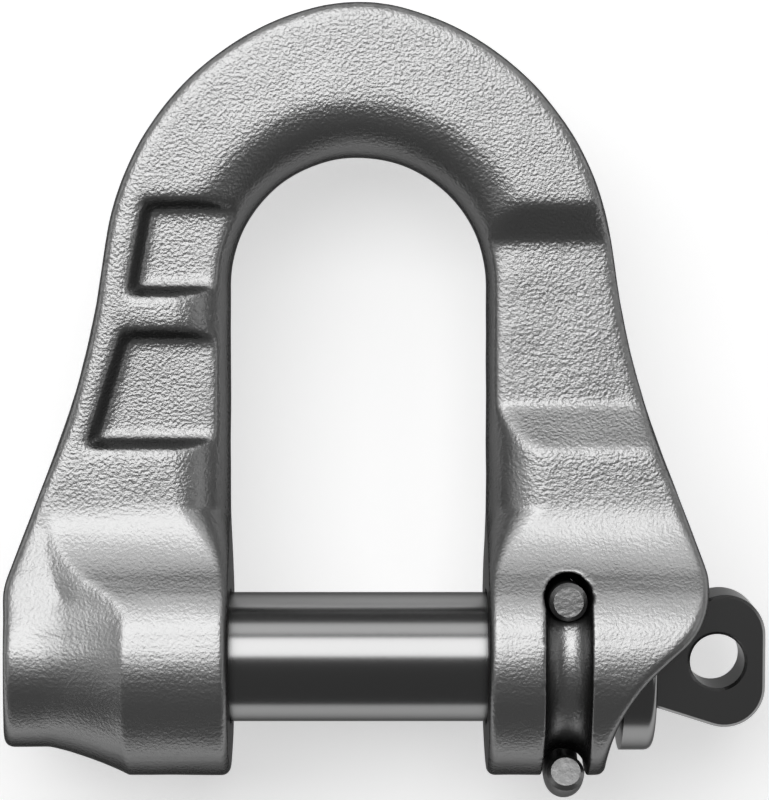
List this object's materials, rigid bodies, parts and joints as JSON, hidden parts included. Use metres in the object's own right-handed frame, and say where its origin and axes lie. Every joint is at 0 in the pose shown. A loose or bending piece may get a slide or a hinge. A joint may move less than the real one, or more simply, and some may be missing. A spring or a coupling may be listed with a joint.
{
  "type": "shackle",
  "caption": "D shackle whose load pin runs in two lugs, has an eye tab in a hood and is locked by a spring wire clip.",
  "frame": {"origin": "on the load pin's axis, midway between the two lugs", "axes": "+X along the load pin towards its eye tab, +Y from the load pin to the crown of the bow, +Z out of the front face; it lies on its back"},
  "size_m": [0.0939, 0.0983, 0.0319],
  "materials": {
    "blasted_steel": "shot-blasted stainless steel",
    "turned_steel": "turned and polished stainless steel",
    "spring_wire": "drawn stainless spring wire"
  },
  "bodies": {
    "shackle": {"shackle_body": "blasted_steel"},
    "pin": {"load_pin": "turned_steel"},
    "clip": {"locking_clip": "spring_wire"}
  },
  "joints": [
    {"name": "pin_turn", "type": "hinge", "parent": "shackle", "child": "pin", "pos_m": [0, 0, 0], "axis": [1, 0, 0], "continuous": true},
    {"name": "clip_pull", "type": "slide", "parent": "shackle", "child": "clip", "axis": [0, 0, -1], "range_m": [0, 0.03]}
  ]
}
